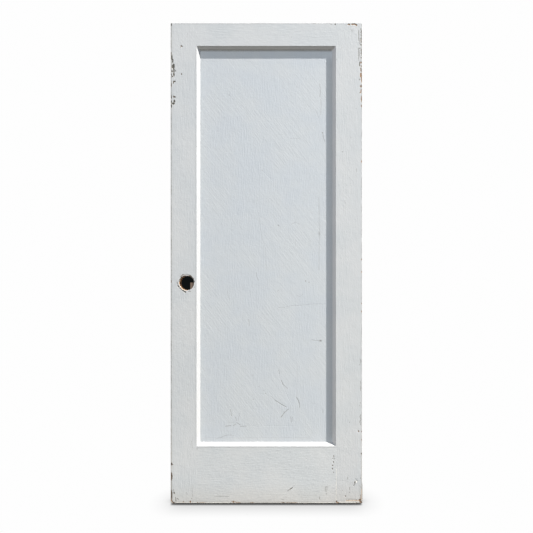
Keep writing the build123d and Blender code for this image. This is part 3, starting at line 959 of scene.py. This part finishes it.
PANEL_SCRATCHES = (
    # Painted shade in the corners by the bevels, over the shadow bands, with some dirt
    (24, 0, 1, (331.5, 62), (331.5, 436)),
    (4.2, 0, 0.5, (201.5, 51), (265, 51), (331, 51)),
    # Crack from the right edge
    (0.9, 0.3, 0.41, (278.2, 307.8), (283.8, 307.6), (291.6, 306.1), (302.7, 305.2), (312.7, 304.1),
     (325.6, 304.2)),
    (1.3, 0.2, 0.49, (311.6, 339.8), (315, 340.6), (319, 340.4)),
    # Low down
    (1.7, 0.35, 0.44, (278.4, 370), (279.6, 374.2)),
    (2, 0.4, 0.63, (281, 380.3), (283, 384.6)),
    (1.6, 0.3, 0.5, (283, 384.6), (287.4, 388.4)),
    (1, 0.3, 0, (278, 373), (283, 386), (288.2, 398.3), (292.7, 407)),
    (1.3, 0.3, 0.4, (271.3, 396.6), (275, 400.4)),
    (1.9, 0.4, 0.61, (275, 400.4), (280.4, 403.9), (286.2, 407.3)),
    (1.6, 0.35, 0.82, (288.4, 409.2), (284.5, 412.5), (280.8, 417.4)),
    (2, 0.35, 0.72, (296.4, 397.6), (298.2, 400.4), (299.3, 404)),
    (1.5, 0.3, 0.6, (299.3, 404), (299.6, 408.4)),
    (0.9, 0.12, 0.21, (297.2, 366), (297, 380), (296.6, 397)),
    (1.3, 0.25, 0.62, (290.6, 416.7), (291.2, 422.2)),
    (1, 0.2, 0.63, (292.4, 417), (292.6, 421.5)),
    (1.3, 0.2, 0.86, (230.4, 409.5), (231.4, 415.8)),
    (1.4, 0.2, 0.37, (239.4, 413.4), (238, 421)),
    (1.2, 0.2, 0.71, (235.4, 417), (236.4, 420.6)),
    (2.2, 0.25, 0.5, (225.6, 426.4), (230.6, 425.8)),
    (1.6, 0.3, 0.5, (232.6, 426.2), (235.6, 424.2)),
    (1.7, 0.3, 0.55, (236.6, 422.8), (240.8, 425.4)),
    (1.9, 0.25, 0.5, (240.4, 426.6), (246.4, 426.2)),
    (1.1, 0.2, 0.25, (228, 422.9), (235, 422.5)),
    (1.1, 0.25, 0.15, (246.4, 424.4), (253, 424.6)),
    (1, 0.25, 0.06, (246, 425.4), (258, 426.6), (272, 425.8), (296, 426.4)),
    (1.2, 0.2, 0.45, (216.4, 438.4), (221.5, 437.4), (224, 436)),
    (1.1, 0.2, 0.55, (224, 436), (228, 435.1), (233.8, 435.4)),
    (1, 0.15, 0.22, (206, 437.8), (232, 438.1), (260, 437.7), (312, 437.9)),
    (1.2, 0.2, 0.25, (284.4, 437), (287, 438), (289.8, 437.6)),
    (0.9, 0.1, 0.29, (311, 403), (316, 403.6)),
    (1, 0.15, 0.1, (269.3, 373.9), (272.7, 381.7)),
    # Higher up
    (1.3, 0.18, 0.19, (258.2, 213), (259.9, 226.7), (261.6, 236.7)),
    (1.2, 0.18, 0.24, (261.6, 236.7), (265.4, 248.9), (266, 270)),
    (0.9, 0.12, 0.14, (259.6, 240), (263.4, 246.4), (264.4, 258)),
    (1.8, 0.2, 0.36, (256, 272.8), (256.6, 277), (258.4, 280.4)),
    (1.3, 0.18, 0.34, (227.2, 291), (227.6, 295), (229.4, 299.4)),
    (1.1, 0.12, 0.14, (280.6, 343), (280.3, 354), (280.6, 366)),
    (1.4, 0.15, 0.33, (278.8, 290), (277, 291.5)),
    (1, 0.15, 0.16, (278.6, 225.6), (281.6, 227.8)),
    (0.9, 0.25, 0, (263, 171.4), (267.2, 175.6), (272.7, 181)),
    (1.8, 0.2, 0.43, (322.6, 134.5), (323.4, 138), (324.8, 141.6)),
    (1.9, 0.18, 0.36, (319.6, 84), (320.4, 92), (319.6, 97)),
    (2, 0.18, 0.24, (320.6, 99), (321, 106), (320.4, 115)),
    (1.8, 0.15, 0.16, (315.4, 110), (318.6, 118)),
    (1.2, 0.15, 0.18, (276.2, 135.4), (279, 134.8), (282.6, 134.8)),
    (1.4, 0.15, 0.18, (289.8, 138.4), (294, 138.9), (299.2, 138.6)),
    (1, 0.15, 0.12, (265.2, 140), (267.5, 146), (269.3, 152.7)),
    (2.6, 0.12, 0.21, (318.8, 198), (319.2, 230), (318.9, 270)),
    (1.1, 0.12, 0.35, (291.4, 224.4), (295.5, 222.2), (299.2, 224.2)),
    (1.2, 0.15, 0.24, (295, 240.6), (295.4, 246.2)),
    (1.1, 0.15, 0.33, (296.4, 295.4), (299.8, 296.8), (302.8, 294.4)),
    (1.3, 0.15, 0.55, (248.6, 319.6), (249.3, 325.8)),
)


def marked(chips=(), stains=(), splinters=(), scratches=(), depth=0.0):
    """The marks of one board from its tables, on its front or on a plane that far behind the leaf's."""
    marks = [spot(*chip, depth=depth) for chip in chips]
    marks += [spot(*shape, soil=soil, depth=depth) for *shape, soil in stains]
    for width, relief, tone, *points in splinters:
        marks += line(points, width, relief, tone, depth=depth)
    for width, relief, soil, *points in scratches:
        marks += line(points, width, relief, soil=soil, depth=depth)
    return marks


LOCK_MARKS = marked(LOCK_CHIPS, LOCK_STAINS, LOCK_SPLINTERS, LOCK_SCRATCHES)
LOCK_MARKS += line([(183.4, 275.6), (186.5, 275.4), (189.6, 275.8)], 1.5, 0.1, old=True)
HINGE_MARKS = marked(HINGE_CHIPS, HINGE_STAINS, HINGE_SPLINTERS, HINGE_SCRATCHES)
HINGE_MARKS += [spot(361.2, py, 0.5, 0.9, 0.25, 0.75) for py in (32, 35.5, 38.5, 42, 45, 50, 53.5, 58)]
HINGE_MARKS += [spot(361.5, py, 0.4, 0.8, 0.3, 0.5) for py in (259.5, 272, 303.5, 311.5)]
TOP_MARKS = marked(TOP_CHIPS, TOP_STAINS, (), TOP_SCRATCHES)
# Painted shade with some dirt: a dark line where the top bevel meets the panel
TOP_MARKS += line([(201, 50), (265, 50), (331, 50)], 2.6, soil=0.7, depth=panel_depth - MM)
BOTTOM_MARKS = marked(BOTTOM_CHIPS, BOTTOM_STAINS, BOTTOM_SPLINTERS, BOTTOM_SCRATCHES)
PANEL_MARKS = marked(stains=PANEL_STAINS, scratches=PANEL_SCRATCHES, depth=panel_depth)


def stile_wear(seed, left, right, edge):
    return [
        *worn_arris(seed, (edge, foot_z), (edge, head_z), 70, 14),
        *worn_arris(seed + 1, (left, head_z), (right, head_z), 5, 5),
        *scattered(seed + 2, (left, foot_z), (right, head_z), 60),
    ]


# Random wear of the back, which the photograph doesn't show
LOCK_MARKS += stile_wear(11, lock_edge_x, lock_joint_x, lock_edge_x)
HINGE_MARKS += stile_wear(21, hinge_joint_x, hinge_edge_x, hinge_edge_x)
TOP_MARKS += worn_arris(31, (lock_joint_x, head_z), (hinge_joint_x, head_z), 22, 8)
TOP_MARKS += scattered(33, (lock_joint_x, top_low.z), (hinge_joint_x, head_z), 20)
BOTTOM_MARKS += worn_arris(41, (lock_joint_x, foot_z), (hinge_joint_x, foot_z), 34, 14)
BOTTOM_MARKS += scattered(43, (lock_joint_x, foot_z), (hinge_joint_x, bottom_high.z), 50)
PANEL_MARKS += scattered(53, (lock_joint_x, bottom_high.z), (hinge_joint_x, top_low.z), 110, panel_high.y)

# Where the boards are cut so that their faces can warp and their edges wear
CELL = 12 * MM
EDGE_CUTS = (4 * MM, 9 * MM)
FACE_CUT = 5.5 * MM


def graded(edge, joint):
    """Cuts close to an outer edge and then even ones up to a joint, in rising order."""
    inward = math.copysign(1, joint - edge)
    close = [edge + inward * cut for cut in EDGE_CUTS]
    return sorted(close + steps(*sorted((close[-1], joint)), CELL))


STILE_CUTS = [(UP, steps(foot_z, head_z, CELL)), (THROUGH, [front_y + FACE_CUT, middle_y, back_y - FACE_CUT])]
RAIL_CUTS = [(ACROSS, steps(lock_joint_x, hinge_joint_x, CELL))]
PANEL_CUTS = [(ACROSS, steps(panel_low.x, panel_high.x, CELL)), (UP, steps(panel_low.z, panel_high.z, CELL))]
LOCK_CUTS = STILE_CUTS + [(ACROSS, graded(lock_edge_x, lock_joint_x))]
HINGE_CUTS = STILE_CUTS + [(ACROSS, graded(hinge_edge_x, hinge_joint_x))]
TOP_CUTS = RAIL_CUTS + [(UP, graded(head_z, top_low.z + bevel_width))]
BOTTOM_CUTS = RAIL_CUTS + [(UP, graded(foot_z, bottom_high.z - bevel_width))]
ENDS = [(UP, head_z), (UP, foot_z)]
LOCK_SIDES = ENDS + [(ACROSS, lock_edge_x)]
HINGE_SIDES = ENDS + [(ACROSS, hinge_edge_x)]

# Each paint has a cooler and a warmer colour, which change places in broad patches
FACE_COLOURS = ((0.652, 0.671, 0.687), (0.687, 0.696, 0.705))
PANEL_COLOURS = ((0.632, 0.666, 0.706), (0.656, 0.682, 0.706))
# The lock-stile and bottom bevels have darker paint than the faces: painted shade that keeps the raking key
# lamp from clipping them. The top bevel's darker, warmer paint is painted shade too.
LOCK_BEVEL_SHADED_COLOURS = ((0.535, 0.545, 0.56), (0.545, 0.555, 0.57))
HINGE_BEVEL_COLOURS = ((0.69, 0.67, 0.67), (0.715, 0.695, 0.695))
TOP_BEVEL_SHADED_COLOURS = ((0.575, 0.553, 0.525), (0.59, 0.57, 0.535))
BOTTOM_BEVEL_SHADED_COLOURS = ((0.52, 0.525, 0.54), (0.53, 0.535, 0.55))
# The outer edges' darker, warmer paint is yellowed grime and also painted shade, which keeps the raking key
# lamp from clipping them.
EDGE_GRIME_AND_SHADE_COLOURS = ((0.43, 0.395, 0.33), (0.40, 0.385, 0.35))


def bevel_paint(board, along, colours):
    return paint(board + " bevel paint", along, *colours, lumps=0.5)


def build_leaf():
    stile_paint = paint("stile paint", UP, *FACE_COLOURS, 0.3, lumps=1.2)
    rail_paint = paint("rail paint", ACROSS, *FACE_COLOURS, 0.3)
    panel_paint = paint("panel paint", UP, *PANEL_COLOURS, 0.7, lumps=0.95)
    stile_rest = [raw_wood("stile wood", UP), paint("stile edge paint", UP, *EDGE_GRIME_AND_SHADE_COLOURS)]
    rail_rest = [raw_wood("rail wood", ACROSS), paint("rail edge paint", ACROSS, *EDGE_GRIME_AND_SHADE_COLOURS)]
    build_board("lock_stile", LOCK_MARKS, lock_stile_face, LOCK_CUTS, LOCK_SIDES,
                [stile_paint, bevel_paint("lock stile", UP, LOCK_BEVEL_SHADED_COLOURS), *stile_rest])
    build_board("hinge_stile", HINGE_MARKS, hinge_stile_face, HINGE_CUTS, HINGE_SIDES,
                [stile_paint, bevel_paint("hinge stile", UP, HINGE_BEVEL_COLOURS), *stile_rest])
    build_board("top_rail", TOP_MARKS, rail_face, TOP_CUTS, ENDS,
                [rail_paint, bevel_paint("top", ACROSS, TOP_BEVEL_SHADED_COLOURS), *rail_rest])
    build_board("bottom_rail", BOTTOM_MARKS, rail_face, BOTTOM_CUTS, ENDS,
                [rail_paint, bevel_paint("bottom", ACROSS, BOTTOM_BEVEL_SHADED_COLOURS), *rail_rest])
    build_board("panel", PANEL_MARKS, panel_face, PANEL_CUTS, [], [panel_paint],
                panel_low.y, panel_high.y)


def bare_dowels():
    dowel_wood = raw_wood("dowel wood", ACROSS, 0.05)
    for name, node in frame["nodes"].items():
        if name.startswith("dowel"):
            for entry in node.material_slots:
                entry.material = dowel_wood


def add_mesh(name, corners, faces, material):
    mesh = bpy.data.meshes.new(name)
    mesh.from_pydata(corners, [], faces)
    mesh.materials.append(material)
    return add_object(name, mesh)


BACKGROUND = 0.99
FLOOR_REACH = 30.0
FLOOR_COLOUR = (0.10, 0.10, 0.098)
# How far off the leaf shades the floor, and how much
WIDE_REACH, WIDE_SHADE = 0.10, 0.66
NEAR_REACH, NEAR_SHADE, DARKEST_NEAR = 0.02, 2.75, 0.60
PAST_EDGE, INSIDE_EDGE = 0.004, 0.010


def seen_directly(nodes):
    path = nodes.add("LightPath").outputs
    return nodes.math("MAXIMUM", path["Is Camera Ray"], path["Is Glossy Ray"])


def closeness(nodes, distance):
    """How much of the sky the leaf hides from a point of the floor, counting only what is that near."""
    shade = nodes.add("AmbientOcclusion", {"Distance": distance}, samples=32)
    return nodes.math("SUBTRACT", 1.0, shade.outputs["AO"])


def floor_material():
    """White to the eye but for the shade close round the leaf's foot, and dim in the light it sends back."""
    material, nodes = new_material("floor")
    x = nodes.axes(nodes.add("NewGeometry").outputs["Position"])[ACROSS]
    wide = nodes.times(closeness(nodes, WIDE_REACH), WIDE_SHADE)
    near = nodes.math("MINIMUM", nodes.times(closeness(nodes, NEAR_REACH), NEAR_SHADE), DARKEST_NEAR)
    past_lock = nodes.span(x, lock_edge_x - PAST_EDGE, lock_edge_x + INSIDE_EDGE)
    past_hinge = nodes.span(x, hinge_edge_x + PAST_EDGE, hinge_edge_x - INSIDE_EDGE)
    near = nodes.times(near, nodes.times(past_lock, past_hinge))
    level = nodes.math("SUBTRACT", 1.0, nodes.math("ADD", wide, near))
    shade = nodes.add("CombineColor", {"Red": level, "Green": level, "Blue": level}).outputs[0]
    white = nodes.add("Emission", {"Color": shade, "Strength": BACKGROUND})
    dim = nodes.add("BsdfDiffuse", {"Color": FLOOR_COLOUR})
    nodes.end_mixed(seen_directly(nodes), dim, white)
    return material


def lay_floor():
    left, right = picture_x - FLOOR_REACH, picture_x + FLOOR_REACH
    near, far = front_y - FLOOR_REACH, front_y + FLOOR_REACH
    corners = [(left, near, foot_z), (right, near, foot_z), (right, far, foot_z), (left, far, foot_z)]
    add_mesh("floor", corners, [(0, 1, 2, 3)], floor_material())


PAINTED_SHADE_DARK = (0.0125, 0.0145, 0.0155)
PAINTED_LIT_BROWN = (0.50, 0.37, 0.29)
PAINTED_CARD_GLOW = 0.45
# The painted lit brown patch on the card: where it begins, ends at the top and fades, from the bore's middle
BROWN_LEFT = (lock_bore_x + 0.006, lock_bore_x + 0.0095)
BROWN_TOP = (lock_bore_z + 0.002, lock_bore_z - 0.002)
BROWN_FADE = (lock_bore_x + 0.011, lock_bore_x + 0.017)
CARD_SIDES = 48
CARD_FROM_BACK = 1.5 * MM


def hang_painted_shade_card():
    """Dark ground behind the bore, as in the photograph. It shows from the front only."""
    # Painted shade: this sheet glows dark where the bore shows only shade, and its brown patch is painted
    # light.
    material, nodes = new_material("dark ground")
    geometry = nodes.add("NewGeometry").outputs
    axes = nodes.axes(geometry["Position"])
    painted_lit_patch = nodes.times(nodes.span(axes[ACROSS], *BROWN_LEFT), nodes.span(axes[UP], *BROWN_TOP),
                        nodes.span(axes[ACROSS], *BROWN_FADE, 1.0, 0.62))
    ground = nodes.mix(painted_lit_patch, PAINTED_SHADE_DARK, PAINTED_LIT_BROWN)
    dark = nodes.add("Emission", {"Color": ground, "Strength": PAINTED_CARD_GLOW})
    nodes.end_mixed(geometry["Backfacing"], dark, nodes.add("BsdfTransparent"))
    radius = lock_bore_radius + SLIGHT
    y = back_y - CARD_FROM_BACK
    corners = []
    for step in range(CARD_SIDES):
        turn = math.tau * step / CARD_SIDES
        corners.append((lock_bore_x + radius * math.cos(turn), y, lock_bore_z + radius * math.sin(turn)))
    add_mesh("dark ground", corners, [tuple(range(CARD_SIDES))], material)


SKY_COLOUR = (0.332, 0.386, 0.445)
WHITE = (1.0, 1.0, 1.0)


def set_world():
    world = bpy.data.worlds.new("studio")
    bpy.context.scene.world = world
    nodes = Nodes(world)
    sky = nodes.add("Background", {"Color": SKY_COLOUR, "Strength": 1.0})
    white = nodes.add("Background", {"Color": WHITE, "Strength": BACKGROUND})
    nodes.end_mixed(seen_directly(nodes), sky, white, "OutputWorld")


def lamp(name, towards, strength, angle, colour):
    """A far lamp that shines from a direction."""
    data = bpy.data.lights.new(name, "SUN")
    data.energy = strength
    data.angle = math.radians(angle)
    data.color = colour
    light = add_object(name, data)
    light.rotation_euler = Vector(towards).to_track_quat("Z", "Y").to_euler()


build_leaf()
bare_dowels()
lay_floor()
hang_painted_shade_card()
place_camera()
set_world()
lamp("key", (0.637, -0.204, 0.766), 8.35, 1.0, (1.0, 0.965, 0.91))
lamp("fill", (-0.35, -0.85, 0.35), 0.70, 70, (0.94, 0.975, 1.0))
lamp("behind", (0.45, 0.80, 0.40), 1.8, 70, (1.0, 0.975, 0.945))
bpy.context.scene.view_settings.view_transform = "Standard"
